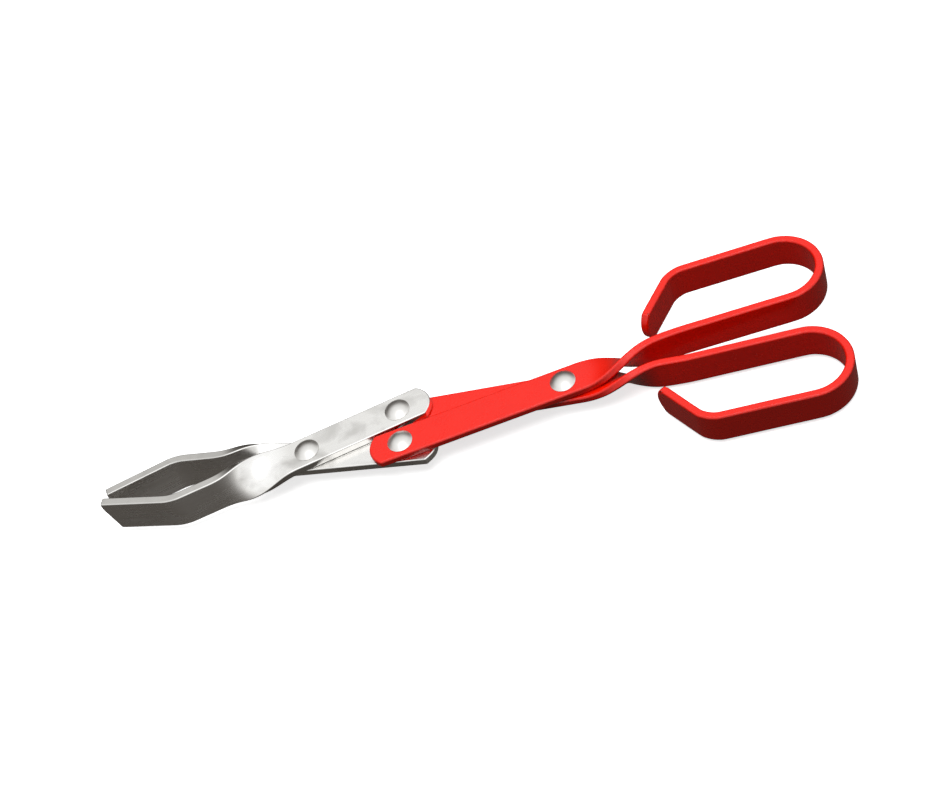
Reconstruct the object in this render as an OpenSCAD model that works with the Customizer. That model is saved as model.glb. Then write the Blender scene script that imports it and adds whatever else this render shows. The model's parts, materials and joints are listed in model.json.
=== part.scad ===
// Crucible tongs. Two steel jaws and two coated handles, four flat strips in all, are
// riveted into a kite: the jaws cross at the jaw pivot, the handles cross at the handle
// pivot, and a link rivet at each side joins a jaw to a handle. Each strip is twisted a
// quarter turn past its pivot, so that the jaws and the finger loops stand on edge.
// +X runs from the jaw tips to the finger loops and +Z is up. The tongs lie on z = 0.
// The left and right strips are one shape, turned half a turn about the long axis.

/* [Linkage] */
// Distance from the handle pivot to each link rivet
handle_link = 59.3; // [59:0.1:62]
// Distance from the jaw pivot to each link rivet
jaw_link = 34.5; // [32:0.5:37]
// Angle of each handle strip to the long axis
handle_angle = 6.8; // [6.8:0.1:9]
// Gap between the two levels of strips
level_gap = 0.2; // [0.2:0.05:0.4]

/* [Jaws] */
// Width of the jaw strip where it lies flat
jaw_w = 12.7; // [11:0.1:12.8]
// Width of the jaw strip where it stands on edge
jaw_edge_w = 14.8; // [12.8:0.1:15.5]
// Thickness of the jaw strip
jaw_t = 3; // [2:0.1:3]
// Distance from the jaw pivot to the corner of the bend
jaw_reach = 49.8; // [44:0.1:60]
// Turn of the bend that brings the tips together
jaw_bend = 26.5; // [22:0.5:28]
// Radius of the bend, on the strip's centre line
jaw_bend_r = 16; // [6:1:24]
// Length of the tip, from the corner of the bend
tip_l = 27.8; // [22:0.1:28]
// Lean of the cut that takes away the tip's lower corner, in degrees
tip_lean = 10; // [10:1:35]
// Radius of the nose at the top of the tip
nose_r = 1; // [0.5:0.1:2]

/* [Handles] */
// Width of the steel inside a handle
core_w = 11.7; // [10:0.1:11.8]
// Thickness of the steel inside a handle
core_t = 2.2; // [1.6:0.1:2.4]
// Thickness of the coating
coat = 0.4; // [0.2:0.05:0.4]
// Distance from the handle pivot to the corner where the inner leg begins
leg_start = 41.9; // [38:0.1:46]
// Angle of a finger loop's inner leg to the long axis
leg_angle = 2.3; // [0:0.1:4]
// Length of the inner leg, from that corner to the round end
leg_l = 38.7; // [35:0.1:60]
// Radius of the loop's round end, on the strip's centre line
loop_r = 13.4; // [12:0.1:18]
// Length of the outer leg
outer_leg_l = 30.5; // [22:0.5:36]
// Radius of the bend between the outer leg and the free leg
free_bend_r = 10; // [5:0.5:12]
// Turn of that bend
free_bend = 53; // [40:1:60]
// Length of the free leg, up to its rounded end
free_leg_l = 18; // [10:0.1:19]

/* [Rivets] */
// Diameter of the rivets' shanks
shank_d = 4.8; // [4:0.1:5]
// Diameter of the domed heads
head_d = 9; // [7:0.1:9.5]
// Height of the domed heads
head_h = 2.1; // [1.5:0.1:2.6]
// Diameter of the hammered tails underneath
tail_d = 7.6; // [6.5:0.1:8.5]
// Height of the hammered tails
tail_h = 1.4; // [1:0.1:2]
// Radial clearance of a shank in the strip that its head is seated on
seat_fit = 0.02; // [0.01:0.01:0.05]
// Radial clearance of a shank in the strip that turns on it
turning_fit = 0.05; // [0.03:0.01:0.1]
// Radial clearance of the jaw pivot's shank in the right jaw
jaw_pivot_fit = 0.3; // [0.25:0.01:0.4]
// Gap between a tail and the strip that turns above it
tail_gap = 0.1; // [0.05:0.05:0.2]

/* [Hidden] */
$fn = 96;

// Past each pivot the strip stays flat for a little way, then twists
twist_start = 6;
twist_l = 28.5;
twist_rings = 24;
// How far the jaws and the handles reach past their link rivets
jaw_end_reach = 12.2;
handle_end_reach = 11.4;
// Their ends are arcs flatter than a half circle: the radius as a share of the strip's width
jaw_end_round = 0.6;
handle_end_round = 0.65;
// The slight bend where a handle's inner leg begins
leg_bend_r = 40;
// Bends are made in steps of at most this many degrees
bend_step = 5;
// The nose of a tip begins at this slope from its upper edge, and has this many steps
nose_start = 15;
nose_steps = 5;

// The handles' size over the coating
handle_t = core_t + 2 * coat;

// The kite: where the link rivets are, and the angle of the jaws
link_y = handle_link * sin(handle_angle);
jaw_angle = asin(link_y / jaw_link);
link_x = -handle_link * cos(handle_angle);
jaw_pivot_x = link_x - jaw_link * cos(jaw_angle);

// Heights of the strips' middles above the plane between the two levels
jaw_z = (level_gap + jaw_t) / 2;
handle_z = (level_gap + handle_t) / 2;

// Straight lengths that are left between the bends
jaw_tangent = jaw_bend_r * tan(jaw_bend / 2);
jaw_straight = jaw_reach - twist_start - twist_l - jaw_tangent;
tip_straight = tip_l - jaw_tangent;
leg_bend = handle_angle - leg_angle;
leg_tangent = leg_bend_r * tan(leg_bend / 2);
leg_lead = leg_start - twist_start - twist_l - leg_tangent;
leg_straight = leg_l - leg_tangent;

// The routes of the parts on edge, which begin where the twist ends
edge_start = [twist_start + twist_l, 0, 0];
jaw_route = route([[jaw_straight], [jaw_bend_r, -jaw_bend], [tip_straight]], edge_start);
function handle_route(free_l) = route([
    [leg_lead], [leg_bend_r, -leg_bend], [leg_straight],
    [loop_r, 180],
    [outer_leg_l], [free_bend_r, free_bend], [free_l],
], edge_start);

// The tongs' ends along X, measured from the handle pivot, set the origin halfway
tip_angle = jaw_bend - jaw_angle;
tip_end = jaw_pivot_x - jaw_reach * cos(jaw_angle) - tip_l * cos(tip_angle)
    - jaw_t / 2 * sin(tip_angle);
loop_end = leg_start * cos(handle_angle) + leg_l * cos(leg_angle)
    - loop_r * sin(leg_angle) + loop_r + handle_t / 2;
handle_pivot_x = -(tip_end + loop_end) / 2;
mid_z = max(jaw_z + jaw_edge_w / 2, handle_z + core_w / 2 + coat);

// A flat strip along X, from its rounded end at -back to a square end at front
module flat_strip(back, front, w, t, end_r) {
    corner = end_r - sqrt(end_r * end_r - w * w / 4);
    linear_extrude(t, center = true) {
        translate([corner - back, -w / 2]) square([front + back - corner, w]);
        intersection() {
            translate([-back, -w / 2]) square([end_r, w]);
            translate([end_r - back, 0]) circle(end_r);
        }
    }
}

// A height held within the strip's width, so that the twist's corners are dressed level
// with the edges of the straight parts
function dressed(z, w) = max(-w / 2, min(w / 2, z));

// One section across a strip at x, leaned over by a degrees
function section(x, a, w, t) = [
    for (corner = [[-w, -t], [w, -t], [w, t], [-w, t]] / 2) [
        x,
        corner[0] * cos(a) - corner[1] * sin(a),
        dressed(corner[0] * sin(a) + corner[1] * cos(a), w)
    ]
];

// How far the twist has come at a share of its length, easing in and out
function eased(u) = u * u * (3 - 2 * u);

// A strip that turns from lying flat at x = 0 to standing on edge at x = twist_l, while its
// width goes from w to edge_w
module twist(w, edge_w, t) {
    last = 4 * twist_rings;
    points = [
        for (i = [0:twist_rings])
            let (turned = eased(i / twist_rings))
                each section(twist_l * i / twist_rings, -90 * turned,
                    w + (edge_w - w) * turned, t)
    ];
    sides = [
        for (i = [0:twist_rings - 1], k = [0:3])
            let (a = 4 * i + k, b = 4 * i + (k + 1) % 4)
                each [[a, a + 4, b + 4], [a, b + 4, b]]
    ];
    polyhedron(points, concat([[0, 1, 2, 3]], sides, [[last + 3, last + 2, last + 1, last]]));
}

// The direction to the left of a heading
function left_of(heading) = [-sin(heading), cos(heading)];

// Where a bend leads from a place, which is [x, y, heading]. Its turn is positive to the left
function after_bend(place, r, turn) =
    let (
        side = sign(turn),
        centre = [place[0], place[1]] + side * r * left_of(place[2]),
        point = centre - side * r * left_of(place[2] + turn)
    ) [point[0], point[1], place[2] + turn];

// Where a straight run leads from a place
function after_run(place, l) =
    [place[0] + l * cos(place[2]), place[1] + l * sin(place[2]), place[2]];

// The places along a strip on edge. Each move is [length] or [radius, turn]
function route(moves, place, i = 0) =
    i == len(moves) ? [place] :
    len(moves[i]) == 1
        ? concat([place], route(moves, after_run(place, moves[i][0]), i + 1))
        : let (r = moves[i][0], turn = moves[i][1], steps = ceil(abs(turn) / bend_step))
            concat(
                [for (k = [0:steps - 1]) after_bend(place, r, turn * k / steps)],
                route(moves, after_bend(place, r, turn), i + 1)
            );

// A point beside a place, towards its left
function beside(place, offset) = [place[0], place[1]] + offset * left_of(place[2]);

// A strip on edge along a route
module on_edge(places, w, t) {
    linear_extrude(w, center = true) polygon(concat(
        [for (i = [0:len(places) - 1]) beside(places[i], -t / 2)],
        [for (i = [len(places) - 1:-1:0]) beside(places[i], t / 2)]
    ));
}

// An outline drawn along a strip and up its width, cut through it at a place
module through_edge(place, t) {
    translate([place[0], place[1], 0]) rotate([90, 0, place[2]])
        linear_extrude(2 * t, center = true) children();
}

// What is cut away beyond the end of a jaw's tip: the lower corner, and a little to round
// the nose at the top. The nose is an arc from nose_start to square with the cut
module tip_offcut() {
    centre = [-nose_r, jaw_edge_w / 2 - nose_r];
    nose_turn = 90 + tip_lean - nose_start;
    nose = [
        for (i = [0:nose_steps])
            let (a = nose_start + nose_turn * i / nose_steps)
                centre + nose_r * [sin(a), cos(a)]
    ];
    above = nose[0] + jaw_edge_w / 4 * [-cos(nose_start), sin(nose_start)];
    below = nose[nose_steps] - 2 * jaw_edge_w * [sin(tip_lean), cos(tip_lean)];
    polygon(concat([below, [nose_r, -jaw_edge_w], [nose_r, jaw_edge_w], above], nose));
}

// What is cut away beyond a rounded end
module end_offcut(w, end_r) {
    difference() {
        translate([-end_r, -w]) square([2 * end_r, 2 * w]);
        translate([-end_r, 0]) circle(end_r);
    }
}

// A hole through a strip for a rivet, at x
module rivet_hole(x, fit) {
    translate([x, 0, 0]) cylinder(h = 2 * jaw_w, d = shank_d + 2 * fit, center = true);
}

// A jaw along X from its pivot, with its link rivet behind the pivot. The tip's cut is at
// the upper edge where cut_up is true
module jaw(pivot_fit, link_fit, cut_up) {
    difference() {
        union() {
            flat_strip(jaw_link + jaw_end_reach, twist_start, jaw_w, jaw_t,
                jaw_end_round * jaw_w);
            translate([twist_start, 0, 0]) twist(jaw_w, jaw_edge_w, jaw_t);
            on_edge(jaw_route, jaw_edge_w, jaw_t);
        }
        through_edge(jaw_route[len(jaw_route) - 1], jaw_t)
            mirror([0, cut_up ? 1 : 0]) tip_offcut();
        rivet_hole(0, pivot_fit);
        rivet_hole(-jaw_link, link_fit);
    }
}

// A handle along X from its pivot, with skin added all over the bare steel
module handle_strip(skin) {
    w = core_w + 2 * skin;
    t = core_t + 2 * skin;
    end_r = handle_end_round * core_w + skin;
    flat_strip(handle_link + handle_end_reach - coat + skin, twist_start, w, t, end_r);
    translate([twist_start, 0, 0]) twist(w, w, t);
    difference() {
        places = handle_route(free_leg_l - coat + skin);
        on_edge(places, w, t);
        through_edge(places[len(places) - 1], t) end_offcut(w, end_r);
    }
}

module handle_core(pivot_fit, link_fit) {
    difference() {
        handle_strip(0);
        rivet_hole(0, pivot_fit);
        rivet_hole(-handle_link, link_fit);
    }
}

module handle_coating(pivot_fit, link_fit) {
    difference() {
        handle_strip(coat);
        handle_strip(0);
        rivet_hole(0, pivot_fit);
        rivet_hole(-handle_link, link_fit);
    }
}

// A cap of a sphere, standing on z = 0
module dome(d, h) {
    r = (d * d / 4 + h * h) / (2 * h);
    intersection() {
        translate([0, 0, h - r]) sphere(r);
        translate([-d, -d, 0]) cube([2 * d, 2 * d, h]);
    }
}

// A rivet through two strips: its domed head is seated on the upper one, and its
// hammered tail holds the lower one
module rivet(upper_t, lower_t) {
    top = level_gap / 2 + upper_t;
    bottom = -level_gap / 2 - lower_t - tail_gap;
    translate([0, 0, top]) dome(head_d, head_h);
    translate([0, 0, bottom - tail_h / 2])
        cylinder(h = top - bottom + tail_h / 2 + head_h / 2, d = shank_d);
    translate([0, 0, bottom]) mirror([0, 0, 1]) dome(tail_d, tail_h);
}

// From the handle pivot, halfway between the levels, to where the tongs lie
module placed() {
    translate([handle_pivot_x, 0, mid_z]) children();
}

// Half a turn about the long axis changes left to right and upper to lower
module turned_over() {
    rotate([180, 0, 0]) children();
}

module jaw_place() {
    translate([jaw_pivot_x, 0, jaw_z]) rotate(180 + jaw_angle) children();
}

module handle_place() {
    translate([0, 0, handle_z]) rotate(handle_angle) children();
}

module left_jaw() {
    color("silver") placed() jaw_place() jaw(seat_fit, seat_fit, false);
}

module right_jaw() {
    color("darkgray") placed() turned_over() jaw_place() jaw(jaw_pivot_fit, turning_fit, true);
}

module left_handle_core() {
    color("gray") placed() turned_over() handle_place() handle_core(turning_fit, turning_fit);
}

module right_handle_core() {
    color("dimgray") placed() handle_place() handle_core(seat_fit, seat_fit);
}

module left_handle_coating() {
    color("firebrick") placed() turned_over() handle_place()
        handle_coating(turning_fit, turning_fit);
}

module right_handle_coating() {
    color("red") placed() handle_place() handle_coating(seat_fit, seat_fit);
}

module jaw_pivot_rivet() {
    color("gainsboro") placed() translate([jaw_pivot_x, 0, 0]) rivet(jaw_t, jaw_t);
}

module handle_pivot_rivet() {
    color("gainsboro") placed() rivet(handle_t, handle_t);
}

// The left link rivet joins the right handle's front end to the right jaw's rear end
module left_link_rivet() {
    color("gainsboro") placed() translate([link_x, -link_y, 0]) rivet(handle_t, jaw_t);
}

// The right link rivet joins the left jaw's rear end to the left handle's front end
module right_link_rivet() {
    color("gainsboro") placed() translate([link_x, link_y, 0]) rivet(jaw_t, handle_t);
}

left_jaw();
right_jaw();
left_handle_core();
right_handle_core();
left_handle_coating();
right_handle_coating();
jaw_pivot_rivet();
handle_pivot_rivet();
left_link_rivet();
right_link_rivet();
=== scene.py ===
# %% [markdown]
# # Crucible tongs
#
# Crucible tongs lift a hot crucible out of a flame. These are four strips of steel held
# together by four rivets: two jaws cross at the jaw pivot, two handles cross at the handle
# pivot, and a link rivet on each side joins a handle to a jaw, so the four strips make a
# kite that opens and closes. The handles were dipped in a red coating.
#
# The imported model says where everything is. This script only gives it its looks, so its
# first step is to load that model and keep the size of the box around it.

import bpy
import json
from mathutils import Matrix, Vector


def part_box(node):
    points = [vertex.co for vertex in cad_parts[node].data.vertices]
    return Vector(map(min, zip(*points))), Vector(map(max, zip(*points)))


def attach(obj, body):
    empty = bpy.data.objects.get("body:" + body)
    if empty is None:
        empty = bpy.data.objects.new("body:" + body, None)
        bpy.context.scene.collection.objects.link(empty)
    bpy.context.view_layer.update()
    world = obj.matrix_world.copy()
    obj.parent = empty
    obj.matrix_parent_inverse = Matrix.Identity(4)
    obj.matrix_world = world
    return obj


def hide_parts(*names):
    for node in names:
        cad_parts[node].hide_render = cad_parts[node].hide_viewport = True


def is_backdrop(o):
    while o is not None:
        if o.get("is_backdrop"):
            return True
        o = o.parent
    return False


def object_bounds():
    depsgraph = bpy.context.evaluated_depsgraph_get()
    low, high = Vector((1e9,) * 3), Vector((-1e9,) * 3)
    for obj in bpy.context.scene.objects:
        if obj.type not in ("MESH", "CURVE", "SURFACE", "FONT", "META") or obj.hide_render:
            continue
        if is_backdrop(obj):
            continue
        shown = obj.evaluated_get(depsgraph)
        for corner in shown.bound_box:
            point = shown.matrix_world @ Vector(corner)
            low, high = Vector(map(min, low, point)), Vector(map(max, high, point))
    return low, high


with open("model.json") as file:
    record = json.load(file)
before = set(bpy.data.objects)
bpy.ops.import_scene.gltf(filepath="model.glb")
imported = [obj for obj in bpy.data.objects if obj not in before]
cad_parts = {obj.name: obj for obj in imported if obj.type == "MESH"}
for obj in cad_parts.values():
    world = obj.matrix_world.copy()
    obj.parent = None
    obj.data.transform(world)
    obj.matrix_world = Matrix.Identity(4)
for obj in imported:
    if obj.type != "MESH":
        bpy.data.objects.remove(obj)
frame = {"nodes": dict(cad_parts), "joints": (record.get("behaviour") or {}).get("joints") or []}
cad_low, cad_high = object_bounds()
print("nodes:", sorted(frame["nodes"]))
print("box:", [round(side * 1000, 2) for side in cad_high - cad_low], "mm")

# %% [markdown]
# ## Where the rivets are
#
# A strip is easiest to describe from its own pivot, with its length along X. To put it into
# the tongs we need the pivot's place and the direction of the strip. Both follow from the
# rivets. The joints of the record give three of them, and the middle of the jaw pivot
# rivet's box gives the fourth, where no joint is because the linkage is open there.

# %% The linkage
import bmesh
import bpy
import json
import math
from mathutils import Matrix, Vector

MM = 0.001
joints = {joint["name"]: Vector(joint["pos_m"]) for joint in frame["joints"]}
handle_pivot = joints["handle_pivot"]
left_link = joints["left_link"]
right_link = joints["right_link"]
rivet_low, rivet_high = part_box("jaw_pivot_rivet")
jaw_pivot = Vector(((rivet_low.x + rivet_high.x) / 2, 0, handle_pivot.z))
handle_link = (handle_pivot - left_link).length
jaw_link = (jaw_pivot - left_link).length
handle_angle = math.atan2(-left_link.y, handle_pivot.x - left_link.x)
jaw_angle = math.atan2(-left_link.y, left_link.x - jaw_pivot.x)
print(f"handles cross at {2 * math.degrees(handle_angle):.1f} degrees,",
      f"jaws at {2 * math.degrees(jaw_angle):.1f} degrees")

# %% [markdown]
# ## A strip as a row of stations
#
# Every strip does the same three things. It lies flat where it is riveted, then it twists a
# quarter turn, and then it stands on edge and bends sideways. Modelling that from a box with
# rotate and bend tools would be slow, and it would be hard to repeat for the second strip.
#
# Instead we walk along the strip and note *stations*. Each station has a place on the
# strip's middle line, the heading there, and the lean of the strip: 0 degrees is flat and
# -90 degrees is on edge. Stations stand close together in the twist and the bends, and far
# apart where the strip is straight. Subdivision later fills in what is between them.

# %% Stations
TWIST_START = 6 * MM
TWIST_LENGTH = 28.5 * MM
TWIST_STATIONS = 9
HOLE_BLOCK = [-4 * MM, -2 * MM, 0, 2 * MM, 4 * MM]


def flat_places(link, reach, end_depth, between):
    """How far along from the pivot the stations of the flat part are."""
    behind = -link + HOLE_BLOCK[0]
    ahead = -link + HOLE_BLOCK[-1]
    gap = (HOLE_BLOCK[0] - ahead) / (between + 1)
    places = [-link - reach, (behind - link - reach + end_depth) / 2]
    places += [-link + offset for offset in HOLE_BLOCK]
    places += [ahead + gap * step for step in range(1, between + 1)]
    return places + HOLE_BLOCK + [TWIST_START]


def left_of(heading):
    return Vector((-math.sin(heading), math.cos(heading), 0))


def along(heading):
    return Vector((math.cos(heading), math.sin(heading), 0))


def quarter_turn(share):
    """The lean after a share of the twist, easing in and out."""
    return -math.pi / 2 * share * share * (3 - 2 * share)


def walk(places, moves):
    """The stations of a strip. A move is (length, turn in degrees, number of steps)."""
    stations = [(Vector((x, 0, 0)), 0.0, 0.0) for x in places]
    for step in range(1, TWIST_STATIONS + 1):
        share = step / TWIST_STATIONS
        middle = Vector((TWIST_START + TWIST_LENGTH * share, 0, 0))
        stations.append((middle, 0.0, quarter_turn(share)))
    for length, degrees, steps in moves:
        middle, heading, lean = stations[-1]
        turn = math.radians(degrees)
        for step in range(1, steps + 1):
            share = step / steps
            if turn:
                radius = length / turn
                centre = middle + radius * left_of(heading)
                point = centre - radius * left_of(heading + turn * share)
            else:
                point = middle + length * share * along(heading)
            stations.append((point, heading + turn * share, lean))
    return stations


print("a quarter turn in", TWIST_STATIONS, "stations over", TWIST_LENGTH / MM, "mm")

# %% [markdown]
# ## From stations to a cage
#
# At each station a row of points goes across the strip, so the stations become a sheet of
# quads down the strip's middle. Four things need care.
#
# - The ends aren't square. The last row of points is pulled back along an arc or a slanted
#   cut, and the rows behind it share a little of that, so that no quad becomes a sliver.
# - A rivet goes through a real hole. A block of four by four quads gives way to sixteen
#   quads around a ring of sixteen points, which subdivides to a clean round hole.
# - Subdivision pulls a surface towards the inside of its bends. Each point is first moved
#   out by a sixth of its second difference, which is just what subdivision takes back.
# - A strip with square corners is taller while it leans than when it stands on edge. Its
#   width is trimmed there, so the twist stays level with the straight edges.
#
# The sheet also gets a UV map in metres, along and across the strip. The grinding marks in
# the steel follow it through the twist, as they do on the real strip.

# %% The cage of a strip
RING_POINTS = 16
FRONT_FADE = 10 * MM
EDGE_ROUND = 0.45 * MM
EDGE_ROOM = 0.04 * MM
SAME_PLACE = 0.01 * MM


def add_object(name, data):
    """A new object in the scene, at the origin."""
    thing = bpy.data.objects.new(name, data)
    bpy.context.scene.collection.objects.link(thing)
    return thing


def leaning_half_width(lean, half_width, half_thickness):
    """Half the width that keeps a rounded corner no higher than half_width."""
    rise = abs(math.sin(lean))
    if rise < 0.5:
        return half_width
    room = (half_width - EDGE_ROOM - EDGE_ROUND
            - (half_thickness - EDGE_ROUND) * math.cos(lean))
    return min(half_width, room / rise + EDGE_ROUND)


def sheet_points(stations, rows, trims, size, edge_width):
    """The sheet's points, station by station. A trim gives how far a row stops short."""
    width, thickness = size
    rear_trim, front_trim = trims
    first, last = stations[0][0], stations[-1][0]
    rear_fade = (stations[2][0] - first).length
    points = []
    for middle, heading, lean in stations:
        local_width = width + (edge_width - width) * abs(lean) / (math.pi / 2)
        half = leaning_half_width(lean, local_width / 2, thickness / 2)
        across = left_of(heading) * math.cos(lean) + Vector((0, 0, math.sin(lean)))
        to_rear = max(0, 1 - (middle - first).length / rear_fade)
        to_front = max(0, 1 - (middle - last).length / FRONT_FADE)
        column = []
        for row in rows:
            shift = rear_trim(row) * to_rear - front_trim(row) * to_front
            column.append(middle + across * row * 2 * half / width + along(heading) * shift)
        points.append(column)
    return points


def stood_off(points, fixed):
    """The points moved out by a sixth of their second difference along the strip."""
    moved = [list(column) for column in points]
    for i in range(1, len(points) - 1):
        if i in fixed:
            continue
        for j, point in enumerate(points[i]):
            moved[i][j] = point - (points[i - 1][j] - 2 * point + points[i + 1][j]) / 6
    return moved


def build_sheet(name, points, rows, lengths, holes):
    """A mesh of quads through the points. A hole is (its first column, its ring's radius)."""
    sheet = bmesh.new()
    uv_map = sheet.loops.layers.uv.new("strip")
    size = len(HOLE_BLOCK) - 1
    bottom = next(j for j, row in enumerate(rows) if abs(row - HOLE_BLOCK[0]) < SAME_PLACE)
    blocked, inside = set(), set()
    for column, _ in holes:
        cells = [(i, j) for i in range(size) for j in range(size)]
        blocked |= {(column + i, bottom + j) for i, j in cells}
        inside |= {(column + i, bottom + j) for i, j in cells if i and j}
    corners, places = {}, {}
    for i, column in enumerate(points):
        for j, point in enumerate(column):
            if (i, j) not in inside:
                corners[i, j] = sheet.verts.new(point)
                places[corners[i, j]] = (lengths[i], rows[j])
    for i in range(len(points) - 1):
        for j in range(len(rows) - 1):
            if (i, j) not in blocked:
                sheet.faces.new([corners[i, j], corners[i + 1, j],
                                 corners[i + 1, j + 1], corners[i, j + 1]])
    for column, radius in holes:
        edge = [(column + size, bottom + size // 2 + k) for k in range(size // 2)]
        edge += [(column + size - k, bottom + size) for k in range(size)]
        edge += [(column, bottom + size - k) for k in range(size)]
        edge += [(column + k, bottom) for k in range(size)]
        edge += [(column + size, bottom + k) for k in range(size // 2)]
        centre = points[column + size // 2][bottom + size // 2]
        ring = []
        for k in range(RING_POINTS):
            angle = 2 * math.pi * k / RING_POINTS
            out = Vector((math.cos(angle), math.sin(angle), 0)) * radius
            ring.append(sheet.verts.new(centre + out))
            places[ring[-1]] = (lengths[column + size // 2] + out.x, out.y)
        for k in range(RING_POINTS):
            after = (k + 1) % RING_POINTS
            sheet.faces.new([ring[k], corners[edge[k]], corners[edge[after]], ring[after]])
    for face in sheet.faces:
        face.smooth = True
        for loop in face.loops:
            loop[uv_map].uv = places[loop.vert]
    mesh = bpy.data.meshes.new(name)
    sheet.to_mesh(mesh)
    sheet.free()
    return mesh


def ring_radius(radius, count):
    """The ring of so many points that subdivides to a circle of this radius."""
    return radius * 3 / (2 + math.cos(2 * math.pi / count))


def strip_piece(name, stations, rows, trims, size, edge_width, links, hole, place):
    """A strip's sheet, put where it belongs. Its modifiers are added afterwards."""
    points = sheet_points(stations, rows, trims, size, edge_width)
    columns = [next(i for i, station in enumerate(stations)
                    if abs(station[0].x - x - HOLE_BLOCK[0]) < SAME_PLACE) for x in links]
    fixed = {i for column in columns for i in range(column, column + len(HOLE_BLOCK))}
    points = stood_off(points, fixed)
    lengths = [0.0]
    for before, after in zip(stations, stations[1:]):
        lengths.append(lengths[-1] + (after[0] - before[0]).length)
    holes = [(column, ring_radius(hole, RING_POINTS)) for column in columns]
    mesh = build_sheet(name, points, rows, lengths, holes)
    mesh.transform(place)
    return add_object(name, mesh)


def arc_end(radius):
    """A trim for an end that is an arc across the strip."""
    return lambda row: radius - math.sqrt(radius * radius - row * row)


print("a hole is a ring of", RING_POINTS, "points, an edge is rounded by", EDGE_ROUND / MM, "mm")

# %% [markdown]
# ## Finishing a strip
#
# The sheet has no thickness yet. Subdivision makes its bends smooth, Solidify gives it the
# thickness of the steel on both sides of the middle, and Bevel takes off the sharp edges.
# The stack stays live, so the thickness or the edge can still be changed at any time.
#
# Subdivision keeps the four corners of the sheet, or the ends would melt away. The bevel
# looks only at edges sharper than 35 degrees, which finds the real edges of the strip and
# leaves the twist alone.

# %% Subdivide, thicken and round
SMOOTHING = 2
SHARP = math.radians(35)
EDGE_SEGMENTS = 3


def thicken(piece, thickness):
    """The stack that makes a strip of this thickness from its sheet."""
    smooth = piece.modifiers.new("smooth the bends", "SUBSURF")
    smooth.levels = SMOOTHING
    smooth.render_levels = SMOOTHING
    smooth.boundary_smooth = "PRESERVE_CORNERS"
    solid = piece.modifiers.new("thickness", "SOLIDIFY")
    solid.thickness = thickness
    solid.offset = 0
    solid.use_even_offset = True
    rounded = piece.modifiers.new("rounded edges", "BEVEL")
    rounded.width = EDGE_ROUND
    rounded.segments = EDGE_SEGMENTS
    rounded.limit_method = "ANGLE"
    rounded.angle_limit = SHARP
    rounded.harden_normals = True
    rounded.use_clamp_overlap = False


print("subdivision level", SMOOTHING)

# %% [markdown]
# ## Where each strip goes
#
# The left and right strips are the same shape. The upper one of a pair is turned about Z to
# its direction and moved to its pivot. The lower one is that same strip turned half a turn
# about the long axis, which also takes it to the other side. A mirror would be wrong here,
# because it would twist the second strip the other way.

# %% Places
LEVEL_GAP = 0.2 * MM


def place_strip(pivot, turn, thickness, below):
    """The move from a strip's own axes to its place, above or below its partner."""
    lift = Matrix.Translation((0, 0, (LEVEL_GAP + thickness) / 2))
    over = Matrix.Rotation(math.pi if below else 0, 4, "X")
    return Matrix.Translation(pivot) @ over @ lift @ Matrix.Rotation(turn, 4, "Z")


print("levels", LEVEL_GAP / MM, "mm apart")

# %% [markdown]
# ## The jaws
#
# A jaw is bare steel strip, 12.7 mm by 3 mm, and it widens to 14.8 mm through the twist.
# Past the twist it runs straight for a little, then bends towards the other jaw, so that the
# two bow out around a crucible's wall and nearly meet again at the tips. The tip is cut on a
# slant that takes away its lower corner, and the top of the cut is rounded over, by an arc
# that stops just short of its end. On the left jaw and on the right jaw the slant goes the
# same way, though one strip is turned over, so it is a trim with a sign.

# %% Jaws
JAW_SIZE = (12.7 * MM, 3 * MM)
JAW_EDGE_WIDTH = 14.8 * MM
JAW_REACH = 49.8 * MM
JAW_BEND = 26.5
JAW_BEND_RADIUS = 16 * MM
TIP_LENGTH = 27.8 * MM
TIP_LEAN = math.radians(10)
NOSE_RADIUS = 1 * MM
JAW_END_REACH = 12.2 * MM
JAW_END_ROUND = 0.6
JAW_HOLE = 2.45 * MM
JAW_ROWS = [row * MM for row in (-6.35, -4, -2, 0, 2, 4, 6.35)]
NOSE_LIMIT = 0.95


def tip_trim(sign):
    """How far the slanted cut and its rounded nose stop short, up the jaw's edge."""
    def trim(row):
        height = sign * row * JAW_EDGE_WIDTH / JAW_SIZE[0]
        top = JAW_EDGE_WIDTH / 2 - NOSE_RADIUS
        meets = top - NOSE_RADIUS * math.sin(TIP_LEAN)
        if height < meets:
            nose = NOSE_RADIUS * (1 - math.cos(TIP_LEAN))
            return nose + (meets - height) * math.tan(TIP_LEAN)
        rise = min(height - top, NOSE_RADIUS * NOSE_LIMIT)
        return NOSE_RADIUS - math.sqrt(NOSE_RADIUS ** 2 - rise ** 2)
    return trim


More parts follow.
